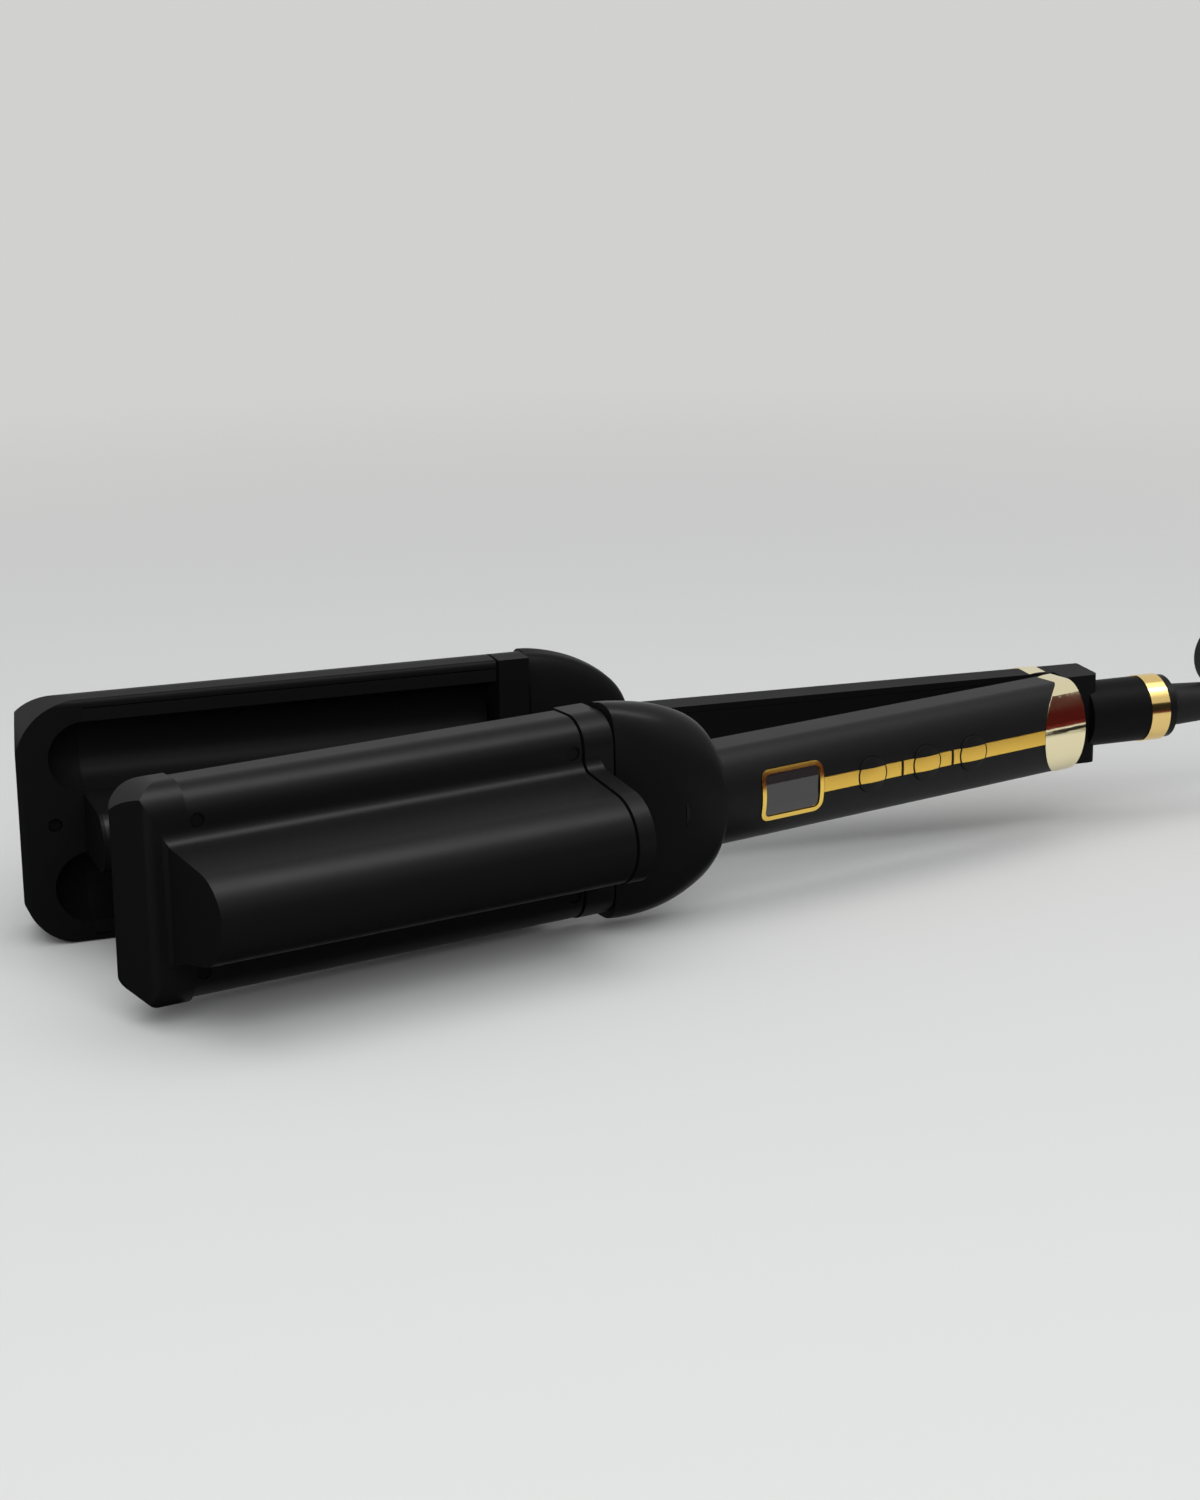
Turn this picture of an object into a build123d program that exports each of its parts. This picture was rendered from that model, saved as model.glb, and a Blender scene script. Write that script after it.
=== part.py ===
from build123d import *
import os
from math import atan, cos, degrees, pi, radians, sin, sqrt, tan

# Tong-type deep hair waver, lying on its side with its jaws open.
# Each arm is drawn closed, in its own frame: the hinge axis is Z at the origin, the tips point
# to -X, the closing plane is y = 0 and +Y is outward. "u" is the distance from the hinge towards
# the tip, "n" the distance outward from the closing plane. The rear arm stays in that frame.
# The front arm is mirrored to -Y and swung open about the hinge. The whole is then raised until
# it stands on z = 0 and centred on its footprint, without the cord.

# ---- driving dimensions, millimetres ----
OPEN_ANGLE = 11.8          # between the arms at rest
CLOSED_GAP = 1.6           # between the two wave plates when closed
FIT = 0.15                 # assembly clearance, each side
SEAM = 0.8                 # shadow gap beside a collar

# lengths along the arms, from the hinge to the tips; each stretch is set by itself
SHROUD_END = 136.4         # hinge to the rim of a shroud
SHROUD_LENGTH = 33.2
COLLAR_LENGTH = 9.4
PLATE_LENGTH = 120.2       # front wave plate
REAR_OVERHANG = 2.3        # the rear wave plate reaches this much further
COLLAR_NEAR = SHROUD_END + SHROUD_LENGTH
COLLAR_FAR = COLLAR_NEAR + COLLAR_LENGTH
PLATE_NEAR = COLLAR_FAR + SEAM
PLATE_FAR = PLATE_NEAR + PLATE_LENGTH
REAR_FAR = PLATE_FAR + REAR_OVERHANG

# jaws
PLATE_WALL = 1.6
TROUGH_R = 10.2            # front plate's central channel
TROUGH_N = 20.0            # its centre, outward of the closing plane
BARREL_R = 8.9             # front plate's two side barrels
PLATE_SKIRT = 6.5          # straight outer edges of the front plate
PITCH = TROUGH_R + BARREL_R
FLANK_N = 17.6             # outer flank of the front jaw
FRONT_WALL = 1.75
FRONT_RIM_N = 2.5          # hair-side edge of the front housing
FRONT_CORNER_R = 8.5
BULGE_R = 13.0             # outer barrel of the front housing
BULGE_N = 33.1             # its centre
BULGE_DRAFT = 10.0         # degrees, sides of the outer barrel
BULGE_FILLET = 4.0
REAR_HALF = 35.8
REAR_BACK_N = 24.0
REAR_WALL = 2.2
REAR_CORNER_R = 17.0
REAR_RIM_R = 1.6           # rounding of the rear jaw's hair-side rim
LAND_N = 0.0               # flat hair-side faces of the rear jaw
FRONT_LAND_N = 0.8         # and of the front cap and collar
SPIGOT = 8.0               # tongues of cap and collar inside the housings
PLATE_HALF = PITCH + BARREL_R
FRONT_HALF = PLATE_HALF + FIT + FRONT_WALL

# tip caps
CAP_HAIR_LENGTH = 15.8     # front end block, at its hair side
CAP_OUTER_LENGTH = 11.4    # and at its flank
CAP_PROUD = 1.0            # it stands out above and below
CAP_CORNER_R = 11.0        # its corners seen from the flank side
CAP_HAIR_R = 3.0
CAP_EDGE_R = 2.8           # between the end face and the flank
BULGE_OVERRUN = 4.2        # the outer barrel's end beyond the seam, at its crest
BULGE_END_SLOPE = 2.2
REAR_CAP_LENGTH = 19.7
REAR_END_CORNER = 17.5
REAR_END_SLOPE = 4.2       # the end face runs back towards the outside
CREST_STUB = 1.0           # the rear cap closes the end of the crest
REAR_CAP_SCREW = 9.5       # from the seam
REAR_BACK_EDGE_R = 5.0     # between the rear cap's end face and its back
CAP_SCREW_SINK = 1.4
NOTCH_SLOPE = 1.3          # the channel's end leans back
BULGE_HOLLOW = 1.6         # small hollow where the barrel's end meets the flank
BULGE_RIM = 0.8            # small rounding at the crest of that end

# collars
COLLAR_PROUD = 0.3
COLLAR_STEP = 4.0          # the outer barrel ends this far before the collar does
BOSS_FOOT = 7.0            # the rear collar's sloping boss ends this far before the shroud
BOSS_ROUND = 1.5

# handles
HANDLE_HALF = 14.4
HANDLE_CROWN = 9.0         # height of the elliptic crown
HANDLE_WALL = 2.0
HANDLE_REF = 138.0         # where the far heights are taken
CROWN_N_FAR = 25.0
CROWN_N_TAIL = 18.4        # crown height at the hinge
INNER_N_FAR = 6.3          # hair-side face of the handle
INNER_N_TAIL = 1.4
HANDLE_SOCKET = 13.6       # length of handle inside the shroud
HANDLE_TAIL = -4.6         # end of the front handle, behind the hinge
COVER_THICK = 2.0
COVER_NEAR = 10.4
TONGUE_HALF = 11.5
TONGUE_TOP = CROWN_N_FAR - HANDLE_CROWN + 1.6
HANDLE_FAR = SHROUD_END + HANDLE_SOCKET
COVER_FAR = HANDLE_FAR - 1.0
CROWN_TILT = degrees(atan((CROWN_N_FAR - CROWN_N_TAIL) / HANDLE_REF))
INNER_TILT = degrees(atan((INNER_N_FAR - INNER_N_TAIL) / HANDLE_REF))

# hinge
PIN_R = 2.0
PIN_RUN = 0.05             # running clearance of the pin in the lug
KNUCKLE_R = 6.5
EAR_R = 7.0
EAR_SIDE = 6.4             # half depth of the ears behind the pin
EAR_IN_Z = 9.0
KNUCKLE_GAP = 0.4
SWING_ROOM = 0.7           # around what turns
SPRING_WIRE_R = 0.5
SPRING_TURNS = 4
SPRING_PLAY = 0.25
SPRING_ROOM_Z = 3.6
BLOCK_LENGTH = 20.0        # hinge blocks inside the handles
BLOCK_GAP = 1.2            # between a block and the other arm's ears
EAR_SWING = 2.6            # room for the ears as the arms close
COVER_SCREW_INSET = 6.0

# controls, measured along the crown from the hinge
DISPLAY_SETBACK = 13.5     # from the rim of the shroud
DISPLAY_LENGTH = 22.7
DISPLAY_HALF = 7.8
DISPLAY_CORNER = 3.0
DISPLAY_STROKE = 1.4
TRIM_PROUD = 0.3
TRIM_DEPTH = 0.7
TRIM_FIT = 0.1
WINDOW_SINK = 0.1
WINDOW_FLAT = 0.35         # depth of the window's flat middle
WINDOW_THICK = 2.3
MODULE_GAP = 1.0           # between the handle's wall and the display module
BAR_HALF = 2.2
BUTTON_S = {"plus": 81.7, "power": 60.5, "minus": 42.0}
BUTTON_R = 5.4
BUTTON_RISE = 0.9
BUTTON_EDGE = 0.25         # height of a button's edge over the handle
BUTTON_TRAVEL = 0.6
BUTTON_RUN = 0.12
BUTTON_SKIRT = 1.0         # the button's edge reaches this far inside the wall
INLAY_DEEP = 0.5
BAR_GAPS = (70.1, 50.3)
BAR_GAP = 1.0
TAIL_BAND_REACH = 12.3
TAIL_BAND_R = 14.7
TAIL_BAND_THICK = 0.5
BOARD_DEPTH = 7.4          # board's outer face below the crown
BOARD_THICK = 1.6
BOARD_HALF = 11.8
BOARD_MARGIN = 2.5
SWITCH_SIDE = 6.0
SWITCH_HIGH = 3.0
SWITCH_GAP = 0.1
DISPLAY_FAR = SHROUD_END - DISPLAY_SETBACK
DISPLAY_NEAR = DISPLAY_FAR - DISPLAY_LENGTH
BOARD_FAR = DISPLAY_FAR + BOARD_MARGIN
BOARD_NEAR = BUTTON_S["minus"] - BUTTON_R
TONGUE_NEAR = BOARD_FAR + 2.0

# cord swivel, measured from the hinge away from the arms
BACK_WALL_X = 7.3
BACK_END_X = 19.5
BACK_CORNER_R = 2.5
SWIVEL_R = 10.4
SWIVEL_END = 36.0
RING_LENGTH = 6.8
RING_PROUD = 0.3
RING_GAP = 0.1             # at either end of the ring
NECK_R = 9.2
STEM_R = 6.95
STEM_RUN = 0.05
STEM_INNER_X = 20.0
RIM_GAP = 0.3
RIM_LENGTH = 2.4
BOOT_R = 6.8
BOOT_TIP_R = 4.7
BOOT_LENGTH = 45.0
BOOT_FLARE = 1.0
BOOT_FLARE_LENGTH = 2.5
GROOVE_WIDTH = 1.2
GROOVE_DEPTH = 0.8
RIB_WIDTH = 2.6
LOOP_HOLE_R = 7.5
LOOP_WIDTH = 4.0
LOOP_THICK = 4.0
LOOP_OFFSET = 24.0         # from the start of the boot
LOOP_Z = 14.5

# screws
SCREW_R = 1.0
SCREW_HEAD_R = 1.9
SCREW_HEAD = 1.2
SCREW_SINK = 0.5
SCREW_Z = 21.0
SCREW_INSET = 2.8          # from either end of a wave plate
JAW_SCREW_LENGTH = 7.0
CAP_SCREW_LENGTH = 9.0
COVER_SCREW_LENGTH = 6.0
COVER_SINK = 0.4
REAR_SCREW_Z = 12.0

# heaters and sensors inside the wave plates
HEATER_HALF = 4.0
HEATER_THICK = 5.0
HEATER_GAP = 0.1
HEATER_INSET = 2.0         # from the tongues of cap and collar
SENSOR_INSET = 25.0
THERMISTOR_R = 1.2
THERMISTOR_LENGTH = 8.0
FUSE_R = 1.8
FUSE_LENGTH = 11.0
FUSE_INSET = 45.0

# cord
CORD_R = 3.3
COIL_MEAN_R = 38.0
COIL_WIDE = 3              # turns side by side
COIL_HIGH = 3              # turns on each other
COIL_SETBACK = 8.0         # from the end of the route
CORD_GAP = 0.3             # between the boot and the cord
CORD_LIFT = 0.1

WIDE = 200.0               # larger than any section, for cutting tools


# ---- frames and helpers ----
def prism(sketch, far, near):
    """A sketch drawn in (n, z), run along the arm from u = far to u = near."""
    plane = Plane((-far, 0, 0), x_dir=(0, 1, 0), z_dir=(1, 0, 0))
    return extrude(plane * sketch, amount=far - near)


def side_prism(points):
    """A side outline given as (u, n), run across the full height of an arm."""
    outline = make_face(Polyline(*[(-u, n) for u, n in points], close=True).edges())
    return extrude(Pos(0, 0, -WIDE / 2) * outline, amount=WIDE)


def box(far, near, n_low, n_high, z_low, z_high):
    size = (far - near, n_high - n_low, z_high - z_low)
    centre = (-(far + near) / 2, (n_low + n_high) / 2, (z_low + z_high) / 2)
    return Pos(*centre) * Box(*size)


def rect(n_low, n_high, half_z):
    return Pos((n_low + n_high) / 2, 0) * Rectangle(n_high - n_low, 2 * half_z)


def face_of(*lines):
    return make_face([edge for line in lines for edge in line.edges()])


def upright(radius, z_low, z_high, u=0.0, n=0.0):
    """A cylinder whose axis is parallel to the hinge axis."""
    return Pos(-u, n, (z_low + z_high) / 2) * Cylinder(radius, z_high - z_low)


def outward(radius, u, n_low, n_high, z=0.0):
    """A cylinder whose axis points outward from the arm."""
    return Pos(-u, (n_low + n_high) / 2, z) * Rot(90, 0, 0) * Cylinder(radius, n_high - n_low)


def along(radius, x_low, x_high, n=0.0, z=0.0):
    """A cylinder whose axis is parallel to the arm."""
    return Pos((x_low + x_high) / 2, n, z) * Rot(0, 90, 0) * Cylinder(radius, x_high - x_low)


def tilted(n_tail, tilt):
    direction = (cos(radians(tilt)), -sin(radians(tilt)), 0)
    return Plane((0, n_tail, 0), x_dir=direction, z_dir=(0, 0, 1))


CROWN = tilted(CROWN_N_TAIL, CROWN_TILT)
INNER = tilted(INNER_N_TAIL, INNER_TILT)


def on_crown(solid):
    """From the crown's frame (y = 0 on the crown line) to the arm's frame."""
    return CROWN.location * solid


def on_inner(solid):
    """The same for the handle's flat hair-side face."""
    return INNER.location * solid


def inner_n(u):
    return INNER_N_TAIL + u * tan(radians(INNER_TILT))


def crown_n(u):
    return CROWN_N_TAIL + u * tan(radians(CROWN_TILT))


def above_inner(grow=0.0):
    """Everything outward of the handle's hair-side face."""
    return on_inner(box(WIDE, -WIDE, -grow, WIDE, -WIDE, WIDE))


def screw(u, z, n_head, length, inward):
    """A pan-head screw along n; its head's outer face is at n_head."""
    step = -1 if inward else 1
    head = sorted((n_head, n_head + step * SCREW_HEAD))
    shank = sorted((n_head + step * SCREW_HEAD, n_head + step * length))
    return outward(SCREW_HEAD_R, u, *head, z) + outward(SCREW_R, u, *shank, z)


def screw_hole(u, z, n_head, length, inward):
    step = -1 if inward else 1
    head = sorted((n_head - step * WIDE / 4, n_head + step * (SCREW_HEAD + FIT)))
    shank = sorted((n_head, n_head + step * (length + FIT)))
    return outward(SCREW_HEAD_R + FIT, u, *head, z) + outward(SCREW_R + FIT / 2, u, *shank, z)


# ---- jaw profiles, in (n, z) ----
def wave_line(side, centre_r):
    """The wave from z = +(PITCH + r) down to the same below. side is +1 where the central
    channel runs outward (front arm) and -1 where the central crest runs inward (rear arm)."""
    barrel_r = PITCH - centre_r
    centre_n = side * TROUGH_N
    lines = []
    for up in (1, -1):
        edge = (0, up * (PITCH + barrel_r))
        top = (-side * barrel_r, up * PITCH)
        foot = (0, up * centre_r)
        lines.append(ThreePointArc(edge, top, foot))
        lines.append(Line(foot, (centre_n, up * centre_r)))
    lines.append(
        ThreePointArc((centre_n, centre_r), (centre_n + side * centre_r, 0), (centre_n, -centre_r))
    )
    return lines


def front_plate_profile():
    hair_edge = PLATE_HALF
    back_edge = hair_edge - PLATE_WALL
    wall_n = PLATE_SKIRT
    ends = []
    for up in (1, -1):
        ends.append(Line((0, up * hair_edge), (wall_n, up * hair_edge)))
        ends.append(Line((wall_n, up * hair_edge), (wall_n, up * back_edge)))
        ends.append(Line((wall_n, up * back_edge), (0, up * back_edge)))
    return face_of(*wave_line(1, TROUGH_R), *wave_line(1, TROUGH_R + PLATE_WALL), *ends)


CREST_R = TROUGH_R - CLOSED_GAP
GROOVE_R = PITCH - CREST_R


def rear_plate_profile():
    land_edge = REAR_HALF - REAR_WALL - 2 * FIT
    hair_edge = PITCH + GROOVE_R
    back_r = GROOVE_R + PLATE_WALL
    hair = wave_line(-1, CREST_R)
    ends = []
    for up in (1, -1):
        ends.append(Line((0, up * hair_edge), (0, up * land_edge)))
        ends.append(Line((0, up * land_edge), (PLATE_WALL, up * land_edge)))
        meet = (PLATE_WALL, up * (PITCH + sqrt(back_r**2 - PLATE_WALL**2)))
        ends.append(Line((PLATE_WALL, up * land_edge), meet))
        ends.append(ThreePointArc(meet, (back_r, up * PITCH), (0, up * (PITCH - back_r))))
        ends.append(Line((0, up * (PITCH - back_r)), (-TROUGH_N, up * (PITCH - back_r))))
    inner_r = PITCH - back_r
    ends.append(
        ThreePointArc((-TROUGH_N, inner_r), (-TROUGH_N - inner_r, 0), (-TROUGH_N, -inner_r))
    )
    return face_of(*hair, *ends)


def front_outline(grow, start_n, bulge=True):
    """Closed outline of the front jaw, offset by grow, from its hair side at start_n."""
    half = FRONT_HALF + grow
    flank = FLANK_N + grow
    if not bulge:
        path = FilletPolyline(
            (start_n, half), (flank, half), (flank, -half), (start_n, -half),
            radius=FRONT_CORNER_R + grow,
        )
        return face_of(path, Line((start_n, -half), (start_n, half)))
    radius = BULGE_R + grow
    tangent = radians(90 - BULGE_DRAFT)
    touch = (BULGE_N + radius * cos(tangent), radius * sin(tangent))
    foot_z = touch[1] + (touch[0] - flank) * tan(radians(BULGE_DRAFT))
    lines = [Line((start_n, -half), (start_n, half))]
    for up in (1, -1):
        lines.append(
            FilletPolyline(
                (start_n, up * half), (flank, up * half), (flank, up * foot_z),
                (touch[0], up * touch[1]),
                radius=[FRONT_CORNER_R + grow, BULGE_FILLET - grow],
            )
        )
    lines.append(
        ThreePointArc(touch, (BULGE_N + radius, 0), (touch[0], -touch[1]))
    )
    return face_of(*lines)


def rear_outline(grow, start_n, rim_r=0.0):
    """Closed outline of the rear jaw, offset by grow; rim_r rounds its hair-side edges."""
    half = REAR_HALF + grow
    back = REAR_BACK_N + grow
    radii = [REAR_CORNER_R + grow]
    halves = []
    for up in (1, -1):
        corners = [(start_n, up * half), (back, up * half), (back, 0)]
        if rim_r:
            corners = [(start_n, 0)] + corners
        halves.append(FilletPolyline(*corners, radius=[rim_r] * bool(rim_r) + radii))
    if not rim_r:
        halves.append(Line((start_n, -half), (start_n, half)))
    return face_of(*halves)


def trough(grow, start_n):
    """The central channel of the front arm, open to the hair side."""
    half = TROUGH_R + grow
    return face_of(
        Line((start_n, -half), (start_n, half)),
        Line((start_n, half), (TROUGH_N, half)),
        ThreePointArc((TROUGH_N, half), (TROUGH_N + half, 0), (TROUGH_N, -half)),
        Line((TROUGH_N, -half), (start_n, -half)),
    )


def crest(grow, end_n):
    """The central crest of the rear arm, running inward from end_n."""
    half = CREST_R + grow
    return face_of(
        Line((end_n, half), (end_n, -half)),
        Line((end_n, -half), (-TROUGH_N, -half)),
        ThreePointArc((-TROUGH_N, -half), (-TROUGH_N - half, 0), (-TROUGH_N, half)),
        Line((-TROUGH_N, half), (end_n, half)),
    )


# ---- front jaw ----
SCREW_NEAR = PLATE_NEAR + SCREW_INSET
JAW_SCREWS = [
    (u, z) for u in (PLATE_FAR - SCREW_INSET, SCREW_NEAR) for z in (SCREW_Z, -SCREW_Z)
]


def front_jaw_housing():
    shell = prism(
        front_outline(0, FRONT_RIM_N) - front_outline(-FRONT_WALL, FRONT_RIM_N - 1),
        PLATE_FAR, PLATE_NEAR,
    )
    for u, z in JAW_SCREWS:
        shell -= screw_hole(u, z, FLANK_N - SCREW_SINK, JAW_SCREW_LENGTH, True)
    return shell


def front_wave_plate():
    return prism(front_plate_profile(), PLATE_FAR, PLATE_NEAR)


def front_spigot(far, near):
    """Tongue behind the flanks, between wave plate and housing, on both sides of the channel."""
    room = front_outline(-FRONT_WALL - FIT, BARREL_R, bulge=False)
    tongue = prism(room, far, near)
    tongue -= prism(trough(PLATE_WALL + FIT, -WIDE / 2), far + 1, near - 1)
    return tongue


def barrel_plugs(end_u, step):
    """Round plugs that close the open ends of the side barrels; step points into the plate."""
    radius = BARREL_R - PLATE_WALL - 2 * FIT
    inner = sorted((-end_u, -(end_u + step * SPIGOT)))
    root = sorted((-(end_u + step), -(end_u - step * (SEAM + 1))))
    plugs = [along(radius, *inner, z=z) for z in (PITCH, -PITCH)]
    roots = [
        along(radius, *root, z=z) & box(WIDE * 2, -WIDE, FRONT_LAND_N, WIDE, -WIDE, WIDE)
        for z in (PITCH, -PITCH)
    ]
    return plugs[0] + plugs[1] + roots[0] + roots[1]


def front_jaw_screws():
    return [
        screw(u, z, FLANK_N - SCREW_SINK, JAW_SCREW_LENGTH, True) for u, z in JAW_SCREWS
    ]


def cap_block():
    """The end block of the front jaw: proud above and below, rounded in plan, its end slanted."""
    half = FRONT_HALF + CAP_PROUD
    section = face_of(
        *[
            FilletPolyline(
                (FLANK_N, 0), (FLANK_N, up * half), (FRONT_LAND_N, up * half), (FRONT_LAND_N, 0),
                radius=[FRONT_CORNER_R, CAP_HAIR_R],
            )
            for up in (1, -1)
        ]
    )
    block = prism(section, CAP_HAIR_END, PLATE_FAR)
    rounded = FilletPolyline(
        (-PLATE_FAR, half), (-CAP_HAIR_END, half), (-CAP_HAIR_END, -half), (-PLATE_FAR, -half),
        radius=CAP_CORNER_R,
    )
    rounded = face_of(rounded, Line((-PLATE_FAR, -half), (-PLATE_FAR, half)))
    block &= extrude(Plane.XZ * rounded, amount=-WIDE)
    side = FilletPolyline(
        (-PLATE_FAR, FRONT_LAND_N), (-CAP_HAIR_END, FRONT_LAND_N),
        (-PLATE_FAR - CAP_OUTER_LENGTH, FLANK_N), (-PLATE_FAR, FLANK_N),
        radius=[CAP_HAIR_R / 2, CAP_EDGE_R],
    )
    side = face_of(side, Line((-PLATE_FAR, FLANK_N), (-PLATE_FAR, FRONT_LAND_N)))
    return block & extrude(Pos(0, 0, -WIDE / 2) * side, amount=WIDE)


def cap_barrel():
    """The end of the outer barrel, with a drafted end face that meets the flank in a small hollow."""
    crest_n = BULGE_N + BULGE_R
    end = PLATE_FAR + BULGE_OVERRUN
    foot = end + BULGE_END_SLOPE
    barrel = prism(front_outline(0, FRONT_LAND_N), foot + 1, PLATE_FAR)
    return barrel & side_prism(
        [
            (PLATE_FAR - 1, -1), (foot + 1, -1), (foot + 1, FLANK_N),
            (foot, FLANK_N + BULGE_HOLLOW), (end, crest_n - BULGE_RIM),
            (end - BULGE_RIM, crest_n + 1), (PLATE_FAR - 1, crest_n + 1),
        ]
    )


def cap_notch():
    """The closed end of the central channel, clear of the rear crest as it swings in."""
    near = PLATE_FAR - SPIGOT - 1
    reach = sqrt((REAR_FAR + CREST_STUB) ** 2 + (TROUGH_N + CREST_R) ** 2)
    end = reach + SWING_ROOM
    notch = prism(trough(0, -1), end, near)
    return notch & side_prism(
        [
            (near, -1), (end, -1), (end, TROUGH_N / 2),
            (end - NOTCH_SLOPE, TROUGH_N + TROUGH_R + 1), (near, TROUGH_N + TROUGH_R + 1),
        ]
    )


CAP_HAIR_END = PLATE_FAR + CAP_HAIR_LENGTH


def front_tip_cap():
    cap = cap_block() + cap_barrel() + front_spigot(PLATE_FAR + 1, PLATE_FAR - SPIGOT)
    cap -= cap_notch()
    cap += barrel_plugs(PLATE_FAR, -1)
    for z in (PITCH, -PITCH):
        nose = Pos(-PLATE_FAR, 0, z) * Sphere(BARREL_R)
        cap += nose & box(CAP_HAIR_END, PLATE_FAR + FIT, -WIDE, FRONT_LAND_N + 1, -WIDE, WIDE)
    for u, z in JAW_SCREWS:
        cap -= screw_hole(u, z, FLANK_N - SCREW_SINK, JAW_SCREW_LENGTH, True)
    return cap


def heater_low(seat_r):
    """Lowest face of a heating bar that lies in a round hollow of that radius."""
    return -sqrt(seat_r**2 - HEATER_HALF**2) + HEATER_GAP


FRONT_HEATER_LOW = heater_low(BARREL_R - PLATE_WALL)
REAR_HEATER_LOW = heater_low(CREST_R - PLATE_WALL) - TROUGH_N
HEATER_FAR = PLATE_FAR - SPIGOT - HEATER_INSET
HEATER_NEAR = PLATE_NEAR + SPIGOT + HEATER_INSET
SENSOR_U = HEATER_NEAR + SENSOR_INSET
FUSE_U = HEATER_NEAR + FUSE_INSET


def heater_bar(low, z):
    return box(
        HEATER_FAR, HEATER_NEAR, low, low + HEATER_THICK, z - HEATER_HALF, z + HEATER_HALF
    )


def front_heater_bars():
    """One flat heating bar lies in the hollow of each side barrel."""
    return [heater_bar(FRONT_HEATER_LOW, z) for z in (PITCH, -PITCH)]


def thermistor(heater_low_n, z):
    seat = heater_low_n + HEATER_THICK + THERMISTOR_R
    return along(THERMISTOR_R, -SENSOR_U, -SENSOR_U + THERMISTOR_LENGTH, n=seat, z=z)


def front_thermistor():
    return thermistor(FRONT_HEATER_LOW, PITCH)


def thermal_fuse():
    seat = FRONT_HEATER_LOW + HEATER_THICK + FUSE_R
    return along(FUSE_R, -FUSE_U, -FUSE_U + FUSE_LENGTH, n=seat, z=-PITCH)


# ---- collars ----
def front_collar():
    """The band between jaw and shroud; its outer barrel ends before its flanks do."""
    band = prism(front_outline(COLLAR_PROUD, FRONT_LAND_N, bulge=False), COLLAR_FAR, COLLAR_NEAR)
    band += prism(
        front_outline(COLLAR_PROUD, FRONT_LAND_N), COLLAR_FAR, COLLAR_NEAR + COLLAR_STEP
    )
    band += front_spigot(PLATE_NEAR + SPIGOT, COLLAR_FAR - 1)
    band += collar_tongue(COLLAR_NEAR + 1)
    band -= prism(trough(0, -1), PLATE_NEAR + SPIGOT + 1, COLLAR_NEAR + COLLAR_STEP + 2)
    band += barrel_plugs(PLATE_NEAR, 1)
    for u, z in JAW_SCREWS:
        band -= screw_hole(u, z, FLANK_N - SCREW_SINK, JAW_SCREW_LENGTH, True)
    return band


TONGUE_LOW = inner_n(COVER_FAR) + COVER_THICK + FIT


def collar_tongue(far):
    """Block of a collar that fills the shroud's socket and then enters the handle shell."""
    return box(far, TONGUE_NEAR, TONGUE_LOW, TONGUE_TOP, -TONGUE_HALF, TONGUE_HALF)


def rear_spigot(far, near):
    """Tongue inside the back of the rear housing."""
    top = REAR_BACK_N - REAR_WALL - 2 * FIT
    return prism(rect(GROOVE_R + PLATE_WALL + 2, top, REAR_HALF / 2), far, near)


def rear_collar():
    band = prism(rear_outline(0, LAND_N), COLLAR_FAR, COLLAR_NEAR)
    band += rear_spigot(PLATE_NEAR + SPIGOT, COLLAR_FAR - 1)
    band += collar_tongue(COLLAR_NEAR + 1)
    boss = prism(crest(0, 1), COLLAR_FAR, COLLAR_NEAR)
    reach = TROUGH_N + CREST_R
    foot = COLLAR_NEAR + BOSS_FOOT
    boss &= side_prism(
        [(COLLAR_FAR + 1, 2), (COLLAR_FAR + 1, -reach - 1), (COLLAR_FAR, -reach - 1),
         (COLLAR_FAR - BOSS_ROUND, -reach + BOSS_ROUND), (foot, -reach / 3), (foot, 2)]
    )
    band += boss
    for u, z in REAR_SCREWS:
        band -= screw_hole(u, z, REAR_BACK_N - SCREW_SINK, JAW_SCREW_LENGTH, True)
    return band


# ---- rear jaw ----
REAR_END = REAR_FAR + REAR_CAP_LENGTH
REAR_SCREWS = [
    (u, z) for u in (REAR_FAR - SCREW_INSET, SCREW_NEAR) for z in (REAR_SCREW_Z, -REAR_SCREW_Z)
]


def rear_jaw_housing():
    shell = prism(
        rear_outline(0, LAND_N, REAR_RIM_R) - rear_outline(-REAR_WALL, LAND_N - 1),
        REAR_FAR, PLATE_NEAR,
    )
    for u, z in REAR_SCREWS:
        shell -= screw_hole(u, z, REAR_BACK_N - SCREW_SINK, JAW_SCREW_LENGTH, True)
    return shell


def rear_wave_plate():
    return prism(rear_plate_profile(), REAR_FAR, PLATE_NEAR)


def rear_jaw_screws():
    return [
        screw(u, z, REAR_BACK_N - SCREW_SINK, JAW_SCREW_LENGTH, True) for u, z in REAR_SCREWS
    ]


REAR_CAP_SCREW_U = REAR_FAR + REAR_CAP_SCREW


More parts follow.
